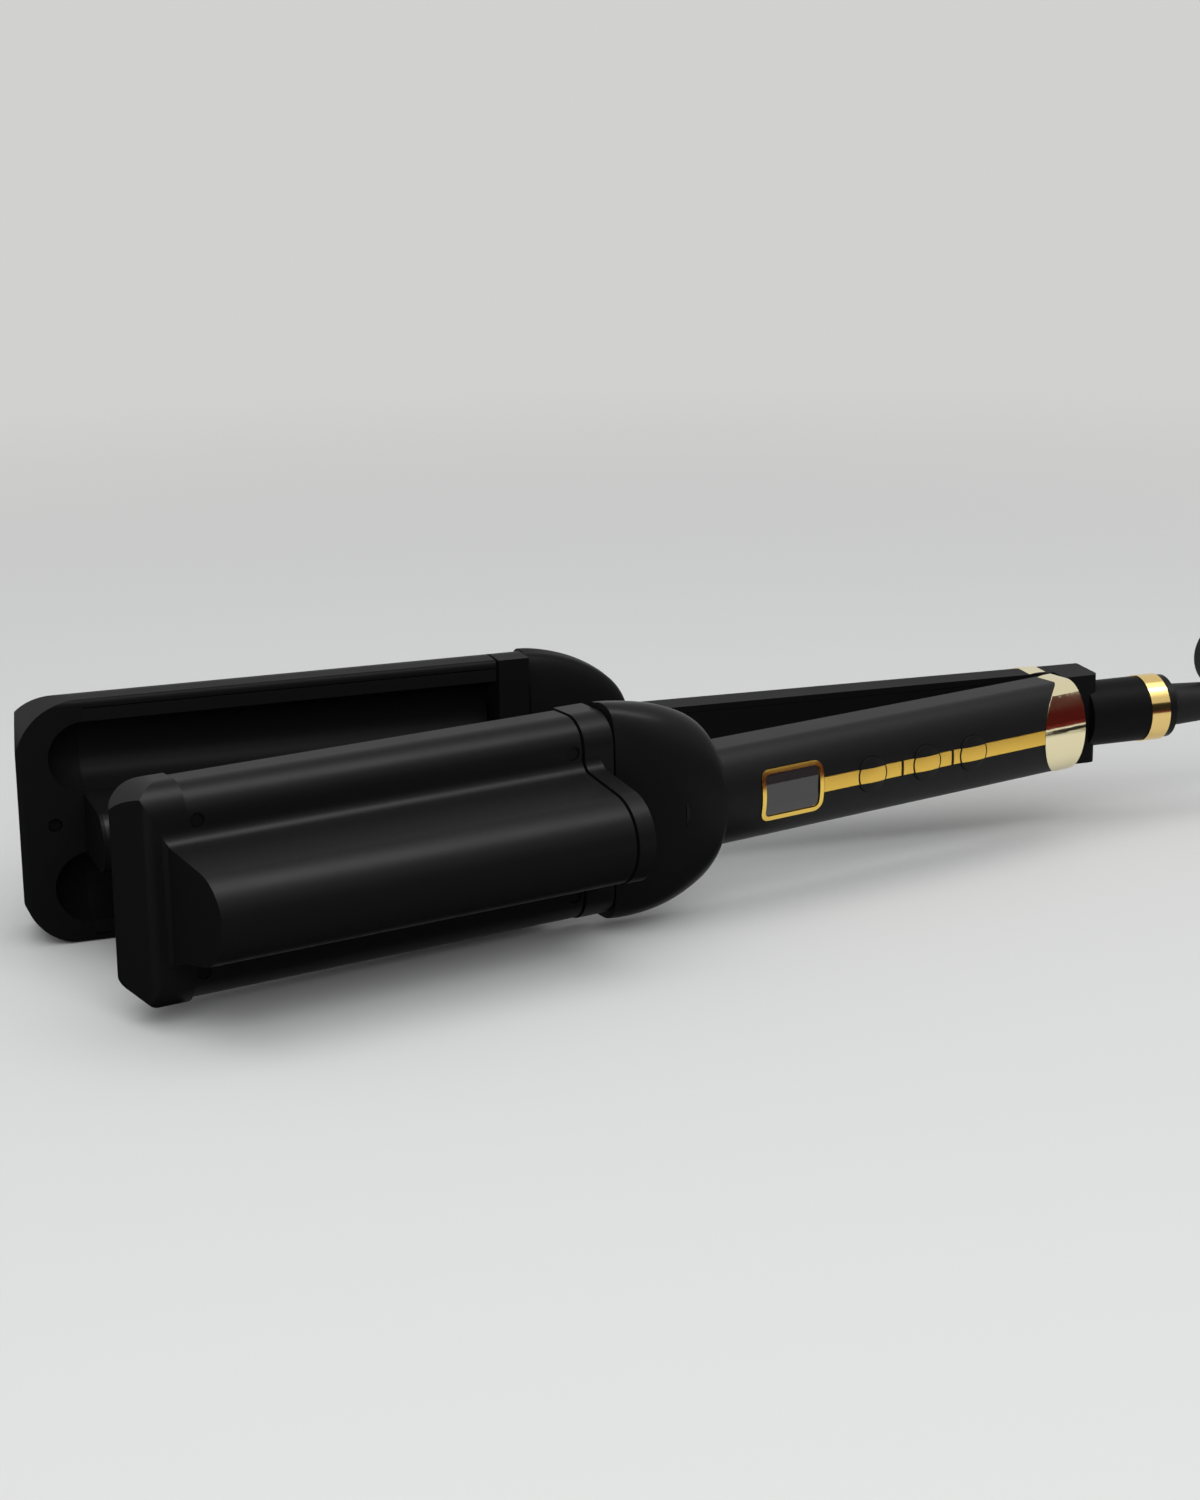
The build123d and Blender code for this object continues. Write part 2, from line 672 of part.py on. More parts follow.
def rear_tip_cap():
    body = prism(rear_outline(0, LAND_N, REAR_RIM_R), REAR_END, REAR_FAR)
    plan_line = FilletPolyline(
        (-REAR_FAR, REAR_HALF), (-REAR_END, REAR_HALF), (-REAR_END, -REAR_HALF),
        (-REAR_FAR, -REAR_HALF), radius=REAR_END_CORNER,
    )
    plan_face = face_of(plan_line, Line((-REAR_FAR, -REAR_HALF), (-REAR_FAR, REAR_HALF)))
    body &= extrude(Plane.XZ * plan_face, amount=-WIDE)
    side = FilletPolyline(
        (-REAR_FAR, LAND_N), (-REAR_END, LAND_N), (-REAR_END + REAR_END_SLOPE, REAR_BACK_N),
        (-REAR_FAR, REAR_BACK_N), radius=[REAR_RIM_R, REAR_BACK_EDGE_R],
    )
    side_face = face_of(side, Line((-REAR_FAR, REAR_BACK_N), (-REAR_FAR, LAND_N)))
    body &= extrude(Pos(0, 0, -WIDE / 2) * side_face, amount=WIDE)
    for z in (PITCH, -PITCH):
        body -= Pos(-REAR_FAR, 0, z) * Sphere(GROOVE_R)
    body += prism(crest(0, 1), REAR_FAR + CREST_STUB, REAR_FAR)
    body += rear_spigot(REAR_FAR + 1, REAR_FAR - SPIGOT)
    body -= screw_hole(REAR_CAP_SCREW_U, 0, LAND_N + CAP_SCREW_SINK, CAP_SCREW_LENGTH, False)
    for u, z in REAR_SCREWS:
        body -= screw_hole(u, z, REAR_BACK_N - SCREW_SINK, JAW_SCREW_LENGTH, True)
    return body


def rear_cap_screw():
    return screw(REAR_CAP_SCREW_U, 0, LAND_N + CAP_SCREW_SINK, CAP_SCREW_LENGTH, False)


def rear_heater_bar():
    """The heating bar of the rear arm lies in the hollow of the crest."""
    return heater_bar(REAR_HEATER_LOW, 0)


def rear_thermistor():
    return thermistor(REAR_HEATER_LOW, 0)


# ---- shrouds ----
def egg(u, half_z, n_low, n_high, outer_power, points=24):
    """A smooth closed section; a high outer_power makes its outer side flat."""
    split = n_low + SHROUD_SPLIT * (n_high - n_low)
    ring = []
    for i in range(points):
        angle = 2 * pi * i / points
        c, s = cos(angle), sin(angle)
        power = outer_power if s >= 0 else SHROUD_HAIR_POWER
        depth = (n_high - split) if s >= 0 else (split - n_low)
        z = half_z * (abs(c) ** (2 / power)) * (1 if c >= 0 else -1)
        n = split + depth * (abs(s) ** (2 / power)) * (1 if s >= 0 else -1)
        ring.append((-u, n, z))
    return Face(Wire([Spline(*ring, periodic=True)]))


SHROUD_LIP = 2.8           # the rim stands this far out from the handle
SHROUD_STEPS = (0.0, 0.07, 0.2, 0.38, 0.6, 0.82, 1.0)
SHROUD_SPLIT = 0.38        # widest place of a section, from its hair side
SHROUD_HAIR_POWER = 3.4
SHROUD_RIM_POWER = 2.3
SHROUD_FALL = 2.5          # how late the top falls towards the rim
FRONT_SHROUD_SWELL = 2.0
REAR_SHROUD_SWELL = 1.7
FRONT_SHROUD_POWER = 5.0
REAR_SHROUD_POWER = 3.0
FRONT_SHROUD_PROUD = 1.8


def shroud(start_half, start_top, start_power, swell):
    """The dome between collar and handle, bored for the collar's tongue and the handle."""
    sections = []
    start = COLLAR_NEAR - SEAM
    rim_half = HANDLE_HALF + SHROUD_LIP
    rim_top = crown_n(SHROUD_END) + SHROUD_LIP / 2
    for t in SHROUD_STEPS:
        widen = (1 - (1 - t) ** swell) ** (1 / swell)
        sections.append(
            egg(
                SHROUD_END + t * (start - SHROUD_END),
                rim_half + (start_half - rim_half) * widen,
                (inner_n(SHROUD_END) - SHROUD_LIP) * (1 - t) + FRONT_LAND_N * t,
                start_top + (rim_top - start_top) * (1 - t**SHROUD_FALL),
                SHROUD_RIM_POWER + (start_power - SHROUD_RIM_POWER) * t**2,
            )
        )
    dome = loft(sections)
    dome -= handle_bar(FIT, HANDLE_FAR + FIT, 0) & above_inner(FIT)
    half = TONGUE_HALF + FIT
    dome -= box(COLLAR_NEAR + 1, HANDLE_FAR - 1, TONGUE_LOW - FIT, TONGUE_TOP + FIT, -half, half)
    return dome


def front_shroud():
    start_half = FRONT_HALF + FRONT_SHROUD_PROUD
    start_top = FLANK_N + COLLAR_PROUD
    return shroud(start_half, start_top, FRONT_SHROUD_POWER, FRONT_SHROUD_SWELL)


def rear_shroud():
    return shroud(REAR_HALF - FIT, REAR_BACK_N, REAR_SHROUD_POWER, REAR_SHROUD_SWELL)


# ---- handles ----
BLOCK_NEAR = EAR_R + BLOCK_GAP
BLOCK_FAR = BLOCK_NEAR + BLOCK_LENGTH
EAR_OUT_Z = HANDLE_HALF - HANDLE_WALL - FIT


def handle_bar(grow, far, near):
    """The handle's outer form, a straight bar with an elliptic crown, offset by grow."""
    half = HANDLE_HALF + grow
    section = Pos(-HANDLE_CROWN, 0) * Ellipse(HANDLE_CROWN + grow, half)
    section += rect(-WIDE / 4, -HANDLE_CROWN, half)
    return on_crown(prism(section, far, near))


def handle_shell(tail):
    shell = handle_bar(0, HANDLE_FAR, tail)
    shell -= handle_bar(-HANDLE_WALL, HANDLE_FAR + 1, tail + HANDLE_WALL)
    return shell & above_inner()


def handle_room(far, near):
    """The room inside a handle shell, less the assembly clearance."""
    return handle_bar(-HANDLE_WALL - FIT, far, near)


def inner_cover():
    return on_inner(box(COVER_FAR, COVER_NEAR, 0, COVER_THICK, -EAR_OUT_Z, EAR_OUT_Z))


COVER_SCREWS = (TONGUE_NEAR + COVER_SCREW_INSET, BLOCK_FAR - COVER_SCREW_INSET)


def cover_screws():
    return [
        screw(u, 0, inner_n(u) + COVER_SINK, COVER_SCREW_LENGTH, False) for u in COVER_SCREWS
    ]


def cover_holes():
    holes = [
        screw_hole(u, 0, inner_n(u) + COVER_SINK, COVER_SCREW_LENGTH, False)
        for u in COVER_SCREWS
    ]
    return holes[0] + holes[1]


def hinge_block(root_spans):
    """The part of a hinge piece that fills the end of a handle, with its roots (z spans)."""
    low = inner_n(BLOCK_FAR) + COVER_THICK + FIT
    high = CROWN_N_TAIL - HANDLE_WALL - FIT
    block = box(BLOCK_FAR, BLOCK_NEAR, low, high, -EAR_OUT_Z, EAR_OUT_Z)
    root_far = COVER_NEAR - FIT
    root_near = HANDLE_TAIL + HANDLE_WALL + FIT
    for z_low, z_high in root_spans:
        block += box(root_far, root_near, inner_n(root_far), high, z_low, z_high)
    return block & handle_room(BLOCK_FAR + 1, root_near)


def ear_room():
    """The room that the rear arm's ears need inside the front arm."""
    room = upright(EAR_R + SWING_ROOM, -WIDE / 2, WIDE / 2)
    room += box(0, 2 * HANDLE_TAIL, -WIDE, EAR_SIDE + EAR_SWING, -WIDE, WIDE)
    inside = HANDLE_HALF - HANDLE_WALL
    keep = EAR_IN_Z - 2 * FIT
    walls = box(WIDE, -WIDE, -WIDE, WIDE, keep, inside) + box(WIDE, -WIDE, -WIDE, WIDE, -inside, -keep)
    return room & walls


def front_hinge_lug():
    top = EAR_IN_Z - KNUCKLE_GAP
    spans = ((SPRING_ROOM_Z, top), (-top, -SPRING_ROOM_Z))
    lug = hinge_block(spans)
    for low, high in spans:
        lug += upright(KNUCKLE_R, low, high)
    lug -= upright(PIN_R + PIN_RUN, -WIDE / 2, WIDE / 2)
    lug -= ear_room()
    lug -= cover_holes()
    return lug


def back_block():
    """The rear arm's closed end behind the pin; the handle's section is carried on around it."""
    block = handle_bar(0, -BACK_WALL_X, -BACK_END_X)
    block &= box(0, -WIDE, -EAR_SIDE, WIDE, -WIDE, WIDE)
    edges = block.edges().filter_by(Axis.Z).group_by(Axis.X)[-1]
    return fillet(edges, BACK_CORNER_R)


def hinge_fork():
    """Rear arm's hinge piece: two ears, the closed end behind them and the swivel housing."""
    spans = ((EAR_IN_Z, EAR_OUT_Z), (-EAR_OUT_Z, -EAR_IN_Z))
    fork = hinge_block(spans)
    for low, high in spans:
        fork += upright(EAR_R, low, high)
        fork += box(0, -BACK_WALL_X - 1, -EAR_SIDE, EAR_SIDE, low, high)
    fork += back_block()
    fork += along(SWIVEL_R, BACK_END_X - 4, SWIVEL_END)
    fork += along(NECK_R, SWIVEL_END - 1, SWIVEL_END + RING_LENGTH)
    fork -= along(STEM_R + STEM_RUN, STEM_INNER_X, SWIVEL_END + RING_LENGTH + 1)
    fork -= upright(PIN_R, -WIDE / 2, WIDE / 2)
    fork -= upright(KNUCKLE_R + SWING_ROOM, -EAR_IN_Z, EAR_IN_Z)
    fork -= cover_holes()
    return fork


def hinge_pin():
    return upright(PIN_R, -EAR_OUT_Z, EAR_OUT_Z)


def opening_spring():
    """Torsion spring coiled on the pin, between the two knuckles."""
    rise = 2 * (SPRING_ROOM_Z - SPRING_WIRE_R) - SWING_ROOM
    pitch = rise / SPRING_TURNS
    helix = Pos(0, 0, -rise / 2) * Helix(pitch, rise, PIN_R + SPRING_WIRE_R + SPRING_PLAY)
    start = Plane(helix @ 0, z_dir=helix % 0)
    return sweep(start * Circle(SPRING_WIRE_R), path=helix, is_frenet=True)


# ---- controls on the front handle, in the crown's frame ----
def crown_layer(low, high, far, near):
    """A layer that follows the crown between two depths."""
    layer = Pos(-HANDLE_CROWN, 0) * Ellipse(HANDLE_CROWN + high, HANDLE_HALF + high)
    layer -= Pos(-HANDLE_CROWN, 0) * Ellipse(HANDLE_CROWN + low, HANDLE_HALF + low)
    layer &= rect(-HANDLE_CROWN, HANDLE_CROWN, HANDLE_HALF + 2)
    return prism(layer, far, near)


def plan(sketch):
    """A plan outline drawn in (-s, z), run through the crown."""
    return extrude(Pos(0, HANDLE_CROWN, 0) * (Plane.XZ * sketch), amount=3 * HANDLE_CROWN)


def display_outline(grow):
    length = DISPLAY_FAR - DISPLAY_NEAR + 2 * grow
    height = 2 * (DISPLAY_HALF + grow)
    middle = (DISPLAY_FAR + DISPLAY_NEAR) / 2
    return Pos(-middle, 0) * RectangleRounded(length, height, DISPLAY_CORNER + grow)


def trim_layer(grow=0.0):
    return crown_layer(-TRIM_DEPTH - grow, TRIM_PROUD + grow, DISPLAY_FAR + 3, HANDLE_TAIL)


def display_frame():
    ring = plan(display_outline(0) - display_outline(-DISPLAY_STROKE))
    return on_crown(trim_layer() & ring)


def window_outline(grow):
    return display_outline(-DISPLAY_STROKE - FIT + grow)


def display_window():
    lens = prism(rect(-HANDLE_CROWN, -WINDOW_FLAT, HANDLE_HALF), DISPLAY_FAR, DISPLAY_NEAR)
    lens &= prism(
        Pos(-HANDLE_CROWN, 0) * Ellipse(HANDLE_CROWN - WINDOW_SINK, HANDLE_HALF - WINDOW_SINK),
        DISPLAY_FAR, DISPLAY_NEAR,
    )
    lens &= plan(window_outline(0))
    low = -WINDOW_FLAT - WINDOW_THICK
    return on_crown(lens & box(WIDE, 0, low, 1, -WIDE, WIDE))


def display_module():
    half = DISPLAY_HALF - DISPLAY_STROKE
    high = -HANDLE_WALL - MODULE_GAP
    return on_crown(
        box(DISPLAY_FAR - 1, DISPLAY_NEAR + 1, -BOARD_DEPTH, high, -half, half)
    )


def control_board():
    return on_crown(
        box(BOARD_FAR, BOARD_NEAR, -BOARD_DEPTH - BOARD_THICK, -BOARD_DEPTH, -BOARD_HALF, BOARD_HALF)
    )


def tact_switches():
    half = SWITCH_SIDE / 2
    return [
        on_crown(box(s + half, s - half, -BOARD_DEPTH, -BOARD_DEPTH + SWITCH_HIGH, -half, half))
        for s in BUTTON_S.values()
    ]


def bar_spans():
    """The three fixed stretches of the gold bar, from the display to the tail band."""
    marks = [DISPLAY_NEAR - TRIM_FIT]
    for gap in BAR_GAPS:
        marks += [gap + BAR_GAP / 2, gap - BAR_GAP / 2]
    marks.append(TAIL_BAND_REACH - 1.0)
    return list(zip(marks[::2], marks[1::2]))


def bar_outline(far, near, grow=0.0):
    return Pos(-(far + near) / 2, 0) * Rectangle(far - near + 2 * grow, 2 * (BAR_HALF + grow))


def trim_bars():
    layer = trim_layer()
    bars = [layer & plan(bar_outline(far, near)) for far, near in bar_spans()]
    bars[-1] -= plan(tail_outline(FIT))
    pieces = [on_crown(bar) for bar in bars]
    for s in BUTTON_S.values():
        pieces = [piece - button_hole(s, BUTTON_RUN) for piece in pieces]
    return pieces


def tail_outline(grow=0.0):
    """The gold band's outline: an arc towards the display, straight at the tail."""
    radius = TAIL_BAND_R + grow
    centre = TAIL_BAND_REACH - TAIL_BAND_R
    back = WIDE / 4
    disc = Pos(-centre, 0) * Circle(radius)
    return disc + Pos(-centre + back / 2, 0) * Rectangle(back, 2 * radius)


def tail_layer(low, high):
    """A layer around the whole outside of the handle's end."""
    outer = handle_bar(high, TAIL_BAND_REACH + 2, HANDLE_TAIL)
    inner = handle_bar(low, TAIL_BAND_REACH + 3, HANDLE_TAIL - 1)
    return (outer - inner) & above_inner(-0.5)


def through_handle(sketch):
    return on_crown(extrude(Pos(0, WIDE / 4, 0) * (Plane.XZ * sketch), amount=WIDE / 2))


def tail_band():
    return tail_layer(-TAIL_BAND_THICK, TRIM_PROUD) & through_handle(tail_outline())


def tail_pocket():
    """What the tail band takes out of a handle shell."""
    return tail_layer(-TAIL_BAND_THICK - TRIM_FIT, 2) & through_handle(tail_outline(TRIM_FIT))


def button_hole(s, grow):
    return on_crown(on_button(s, -HANDLE_WALL) * Cylinder(BUTTON_R + grow, 6 * HANDLE_WALL))


BUTTON_TOP_R = (BUTTON_R**2 + (BUTTON_RISE - BUTTON_EDGE) ** 2) / (2 * (BUTTON_RISE - BUTTON_EDGE))
BUTTON_LOW = -HANDLE_WALL - BUTTON_SKIRT


def on_button(s, height):
    """A place on a button's axis, height above the crown, with its axis across the crown."""
    return Pos(-s, height, 0) * Rot(90, 0, 0)


def button_dome(s, grow=0.0):
    return Pos(-s, BUTTON_RISE - BUTTON_TOP_R, 0) * Sphere(BUTTON_TOP_R + grow)


def button(s):
    """A domed cap with a stem that stands just clear of its switch."""
    tall = BUTTON_RISE - BUTTON_LOW
    cap = on_button(s, BUTTON_LOW + tall / 2) * Cylinder(BUTTON_R, tall)
    cap &= button_dome(s)
    stem_low = -BOARD_DEPTH + SWITCH_HIGH + BUTTON_TRAVEL + SWITCH_GAP
    tall = BUTTON_LOW - stem_low + FIT
    body = cap + on_button(s, stem_low + tall / 2) * Cylinder(SWITCH_SIDE / 4, tall)
    groove = Box(4 * BUTTON_R, 2 * INLAY_DEEP, 2 * (BAR_HALF + 0.02))
    return body - Pos(-s, BUTTON_RISE, 0) * groove


def button_inlay(s):
    """The stretch of the gold bar that rides on a button."""
    strip = Pos(-s, BUTTON_RISE, 0) * Box(4 * BUTTON_R, 2 * INLAY_DEEP, 2 * BAR_HALF)
    strip &= on_button(s, BUTTON_RISE) * Cylinder(BUTTON_R, 4)
    strip &= button_dome(s, 0.05)
    return on_crown(strip)


def front_handle_shell():
    shell = handle_shell(HANDLE_TAIL)
    trim_low = -TRIM_DEPTH - TRIM_FIT
    below = DISPLAY_NEAR - 10
    shell -= on_crown(
        plan(display_outline(FIT)) & crown_layer(-HANDLE_WALL - 1, 2, DISPLAY_FAR + 3, below)
    )
    shell += on_crown(
        plan(display_outline(FIT) - window_outline(FIT + TRIM_FIT))
        & crown_layer(-HANDLE_WALL, trim_low, DISPLAY_FAR + 3, below)
    )
    for far, near in bar_spans():
        shell -= on_crown(
            crown_layer(trim_low, 2, far + 1, near - 1) & plan(bar_outline(far, near, TRIM_FIT))
        )
    for s in BUTTON_S.values():
        shell -= button_hole(s, BUTTON_RUN)
    shell -= tail_pocket()
    shell -= ear_room()
    return shell - upright(KNUCKLE_R + FIT, -EAR_IN_Z, EAR_IN_Z)


def rear_handle_shell():
    shell = handle_shell(-BACK_WALL_X + FIT)
    shell -= box(0, -WIDE, -WIDE, WIDE, -EAR_OUT_Z - FIT, EAR_OUT_Z + FIT) & handle_bar(
        -HANDLE_WALL, HANDLE_FAR, -WIDE
    )
    return shell - tail_pocket()


# ---- cord swivel ----
def swivel_ring():
    far = SWIVEL_END + RING_LENGTH - RING_GAP
    ring = along(SWIVEL_R + RING_PROUD, SWIVEL_END + RING_GAP, far)
    return ring - along(NECK_R + FIT, SWIVEL_END - 1, SWIVEL_END + RING_LENGTH + 1)


RIM_X = SWIVEL_END + RING_LENGTH + RIM_GAP
BOOT_X = RIM_X + RIM_LENGTH
BOOT_END = BOOT_X + BOOT_LENGTH
LOOP_X = BOOT_X + LOOP_OFFSET


def swivel_stem():
    stem = along(STEM_R, STEM_INNER_X + FIT, RIM_X + RIM_LENGTH / 2)
    stem += along(SWIVEL_R - RIM_GAP, RIM_X, BOOT_X)
    return stem - along(CORD_R, STEM_INNER_X - 1, BOOT_X + 1)


def strain_relief():
    """Tapered, ribbed cord boot with a moulded loop to hang the tool by."""
    taper = (BOOT_R - BOOT_TIP_R) / BOOT_LENGTH
    start = BOOT_X + RING_GAP
    outline = [(start, 0.0), (start, BOOT_R + BOOT_FLARE), (start + BOOT_FLARE_LENGTH, BOOT_R)]
    outer_r = LOOP_HOLE_R + LOOP_WIDTH
    x = LOOP_X + outer_r
    while x + GROOVE_WIDTH + RIB_WIDTH < BOOT_END:
        radius = BOOT_R - taper * (x - BOOT_X)
        deep = radius - GROOVE_DEPTH
        end = x + GROOVE_WIDTH
        outline += [(x, radius), (x, deep), (end, deep), (end, radius)]
        x = end + RIB_WIDTH
    outline += [(BOOT_END, BOOT_TIP_R), (BOOT_END, 0.0)]
    profile = make_face(Polyline(*outline, close=True).edges())
    boot = revolve(profile, Axis.X)
    ring = Pos(LOOP_X, 0, LOOP_Z) * Rot(90, 0, 0) * Cylinder(outer_r, LOOP_THICK)
    boot += ring
    boot -= Pos(LOOP_X, 0, LOOP_Z) * Rot(90, 0, 0) * Cylinder(LOOP_HOLE_R, 4 * LOOP_THICK)
    return boot


# ---- cord, on the surface that the tool lies on ----
FLOOR = -REAR_HALF
CORD_ROUTE = [
    (110.0, 0.0, 0.0), (136.0, -1.0, -8.5), (160.0, -3.0, -23.0),
    (184.0, -3.0, FLOOR + CORD_R + CORD_LIFT), (208.0, -1.0, FLOOR + CORD_R),
]


def corner_radii(points):
    radii = []
    for before, here, after in zip(points, points[1:], points[2:]):
        run_in = Vector(*here) - Vector(*before)
        run_out = Vector(*after) - Vector(*here)
        turn = radians(run_in.get_angle(run_out))
        radii.append(0.45 * min(run_in.length, run_out.length) / tan(turn / 2))
    return radii


def cord_path():
    route = [(BOOT_END + CORD_GAP, 0.0, 0.0)] + CORD_ROUTE
    return FilletPolyline(*route, radius=corner_radii(route))


def cord_tube(radius=CORD_R):
    path = cord_path()
    start = Plane(path @ 0, z_dir=path % 0)
    return sweep(start * Circle(radius), path=path)


def print_cord():
    route = [(BOOT_END + CORD_GAP, 0.0, 0.0)] + CORD_ROUTE
    length = cord_path().length
    print("cord radii", [round(r, 1) for r in corner_radii(route)], "length", round(length, 1),
          "volume", round(cord_tube().volume), "section x length", round(pi * CORD_R**2 * length))


COIL_CENTRE = (CORD_ROUTE[-1][0] + COIL_SETBACK, CORD_ROUTE[-1][1] - COIL_MEAN_R - 2 * CORD_R)
COIL_HALF = COIL_WIDE * CORD_R
COIL_TOP = FLOOR + 2 * CORD_R * COIL_HIGH
LEAD_LENGTH = 58.0
LEAD_Y = COIL_CENTRE[1] - COIL_MEAN_R - 2 * CORD_R


def cord_coil():
    """The put-away turns as one ring, with the straight lead that leaves it for the plug."""
    centre = Pos(*COIL_CENTRE, (FLOOR + COIL_TOP) / 2)
    ring = centre * Cylinder(COIL_MEAN_R + COIL_HALF, COIL_TOP - FLOOR)
    ring -= centre * Cylinder(COIL_MEAN_R - COIL_HALF, 2 * (COIL_TOP - FLOOR))
    ring += along(CORD_R, COIL_CENTRE[0] - LEAD_LENGTH, COIL_CENTRE[0], n=LEAD_Y, z=PLUG_Z)
    return ring - cord_tube(CORD_R + FIT)


PLUG_LENGTH = 36.0
PLUG_HALF_W = 17.5
PLUG_HALF_T = 7.0
PLUG_TAIL_HALF = 5.0
PLUG_WAIST_HALF = 8.0
PLUG_WAIST = 0.6           # of the length, from the face
PLUG_CORNER_R = 1.5
PLUG_PIN_R = 2.4
PLUG_PIN_LENGTH = 19.0
PLUG_PIN_SPACING = 19.0
PLUG_Z = FLOOR + PLUG_HALF_T
PLUG_FACE_X = COIL_CENTRE[0] - LEAD_LENGTH - PLUG_LENGTH


def plug_body():
    tail_x = PLUG_FACE_X + PLUG_LENGTH
    waist_x = PLUG_FACE_X + PLUG_WAIST * PLUG_LENGTH
    outline = FilletPolyline(
        (tail_x, LEAD_Y - PLUG_TAIL_HALF), (tail_x, LEAD_Y + PLUG_TAIL_HALF),
        (waist_x, LEAD_Y + PLUG_WAIST_HALF),
        (PLUG_FACE_X, LEAD_Y + PLUG_HALF_W), (PLUG_FACE_X, LEAD_Y - PLUG_HALF_W),
        (waist_x, LEAD_Y - PLUG_WAIST_HALF), close=True, radius=PLUG_CORNER_R,
    )
    return extrude(Pos(0, 0, FLOOR) * make_face(outline.edges()), amount=2 * PLUG_HALF_T)


def plug_pins():
    return [
        along(PLUG_PIN_R, PLUG_FACE_X - PLUG_PIN_LENGTH, PLUG_FACE_X,
              n=LEAD_Y + side * PLUG_PIN_SPACING / 2, z=PLUG_Z)
        for side in (1, -1)
    ]


# ---- assembly ----
def swing(solid):
    """A front-arm solid from the closed arm frame to its open place."""
    return Rot(0, 0, OPEN_ANGLE) * mirror(solid, about=Plane.XZ)


def front_inner_cover():
    return inner_cover() - cover_holes() - ear_room()


def rear_inner_cover():
    return inner_cover() - cover_holes()


def front_collar_with_holes():
    return front_collar() - cover_holes()


def rear_collar_with_holes():
    return rear_collar() - cover_holes()


FRONT = {
    "front_jaw_housing": front_jaw_housing,
    "front_wave_plate": front_wave_plate,
    "front_tip_cap": front_tip_cap,
    "front_collar": front_collar_with_holes,
    "front_shroud": front_shroud,
    "front_handle_shell": front_handle_shell,
    "front_inner_cover": front_inner_cover,
    "front_hinge_lug": front_hinge_lug,
    "front_heater_bars": front_heater_bars,
    "front_thermistor": front_thermistor,
    "thermal_fuse": thermal_fuse,
    "front_jaw_screws": front_jaw_screws,
    "front_cover_screws": cover_screws,
    "display_frame": display_frame,
    "display_window": display_window,
    "display_module": display_module,
    "control_board": control_board,
    "tact_switches": tact_switches,
    "trim_bars": trim_bars,
    "tail_band": tail_band,
}
for button_name, button_place in BUTTON_S.items():
    FRONT["button_" + button_name] = lambda s=button_place: on_crown(button(s))
    FRONT["inlay_" + button_name] = lambda s=button_place: button_inlay(s)

REAR = {
    "rear_jaw_housing": rear_jaw_housing,
    "rear_wave_plate": rear_wave_plate,
    "rear_tip_cap": rear_tip_cap,
    "rear_collar": rear_collar_with_holes,
    "rear_shroud": rear_shroud,
    "rear_handle_shell": rear_handle_shell,
    "rear_inner_cover": rear_inner_cover,
    "hinge_fork": hinge_fork,
    "hinge_pin": hinge_pin,
    "opening_spring": opening_spring,
    "rear_heater_bar": rear_heater_bar,
    "rear_thermistor": rear_thermistor,
    "rear_jaw_screws": rear_jaw_screws,
    "rear_cap_screw": rear_cap_screw,
    "rear_cover_screws": cover_screws,
    "rear_tail_band": tail_band,
    "swivel_ring": swivel_ring,
    "swivel_stem": swivel_stem,
    "strain_relief": strain_relief,
}
CORD = {
    "power_cord": cord_tube,
    "cord_coil": cord_coil,
    "plug_body": plug_body,
    "plug_pins": plug_pins,
}


def solids_of(made):
    """The solids of one sub-part, whether it is one shape or a list of them."""
    shapes = made if isinstance(made, list) else [made]
    return [solid for shape in shapes for solid in shape.solids()]


def main():
    os.makedirs("parts", exist_ok=True)
    tool = {name: solids_of(make()) for name, make in REAR.items()}
    for name, make in FRONT.items():
        tool[name] = [swing(solid) for solid in solids_of(make())]
    bounds = Compound(children=[s for solids in tool.values() for s in solids]).bounding_box()
    shift = Pos(-bounds.center().X, -bounds.center().Y, REAR_HALF)
    for name, make in CORD.items():
        tool[name] = solids_of(make())
    for name, solids in tool.items():
        export_step(Compound(children=[shift * s for s in solids]), f"parts/{name}.step")
    print("hinge axis at", tuple(round(v, 3) for v in (shift.position.X, shift.position.Y,
                                                       shift.position.Z)))
    print("size", bounds.size)
    print_cord()


main()
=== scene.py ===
from math import cos, pi, radians, sin

import bpy
from mathutils import Matrix, Vector


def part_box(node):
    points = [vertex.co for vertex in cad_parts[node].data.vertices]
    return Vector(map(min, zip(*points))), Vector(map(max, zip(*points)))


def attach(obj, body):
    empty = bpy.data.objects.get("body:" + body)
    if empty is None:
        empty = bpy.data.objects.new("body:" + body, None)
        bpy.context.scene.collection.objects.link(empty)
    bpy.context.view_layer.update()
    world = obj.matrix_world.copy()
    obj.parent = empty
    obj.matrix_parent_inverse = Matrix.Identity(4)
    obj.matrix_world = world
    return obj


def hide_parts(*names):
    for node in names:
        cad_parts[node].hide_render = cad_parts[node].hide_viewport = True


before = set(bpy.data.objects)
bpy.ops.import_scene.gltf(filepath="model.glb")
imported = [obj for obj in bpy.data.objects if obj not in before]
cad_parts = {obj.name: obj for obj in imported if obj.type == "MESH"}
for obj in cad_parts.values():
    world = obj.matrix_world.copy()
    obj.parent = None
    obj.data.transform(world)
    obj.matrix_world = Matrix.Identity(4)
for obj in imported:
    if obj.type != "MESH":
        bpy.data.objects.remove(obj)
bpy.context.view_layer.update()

# The hinge pin stands at the origin of the measured sizes below; Z is up from the table.
pin_low, pin_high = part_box("hinge_pin")
HINGE = (pin_low + pin_high) / 2
ARM_Z = HINGE.z

# ---- camera ----
IMAGE_WIDTH = 1200
FOCAL_PIXELS = 2943.0
SENSOR = 36.0
CAMERA_FROM_HINGE = Vector((-0.4377, -0.8029, 0.0))
CAMERA_HEIGHT = 0.2790
AZIMUTH = 19.87
ELEVATION = 15.58
ROLL = -0.57
CLIP_END = 50.0


